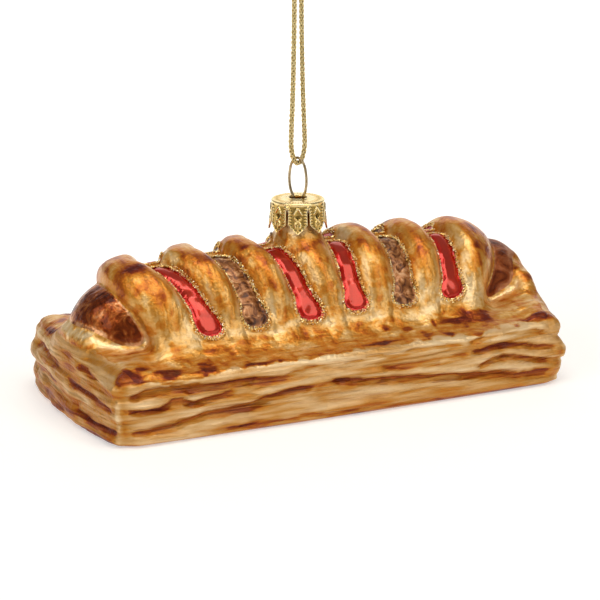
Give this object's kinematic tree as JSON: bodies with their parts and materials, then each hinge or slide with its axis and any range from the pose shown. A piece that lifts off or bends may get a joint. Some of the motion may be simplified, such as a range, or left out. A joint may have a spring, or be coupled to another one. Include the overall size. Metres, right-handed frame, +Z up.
{
  "type": "frikandel roll glass ornament",
  "caption": "Blown-glass hanging ornament shaped like a frikandel roll, a sausage baked in layered puff pastry, with a stamped cap, a wire loop and a doubled cord.",
  "frame": {"origin": "middle of the body's flat underside", "axes": "+X along the roll, +Y across it towards the back, +Z up through the cap"},
  "size_m": [0.1284, 0.062, 0.1087],
  "materials": {
    "baked_pastry_lacquer": "silvered blown glass painted in satin golden-brown lacquer, with copper-brown and clear red fields and gold glitter lines",
    "gold_foil_cap": "stamped thin metal, shiny gold",
    "pale_gold_wire": "drawn wire, pale gold",
    "gold_cord": "braided metallic gold thread"
  },
  "bodies": {
    "root": {"glass_body": "baked_pastry_lacquer", "cap": "gold_foil_cap", "hanger_wire": "pale_gold_wire", "cord_left": "gold_cord", "cord_right": "gold_cord", "cord_knot": "gold_cord"}
  },
  "joints": []
}
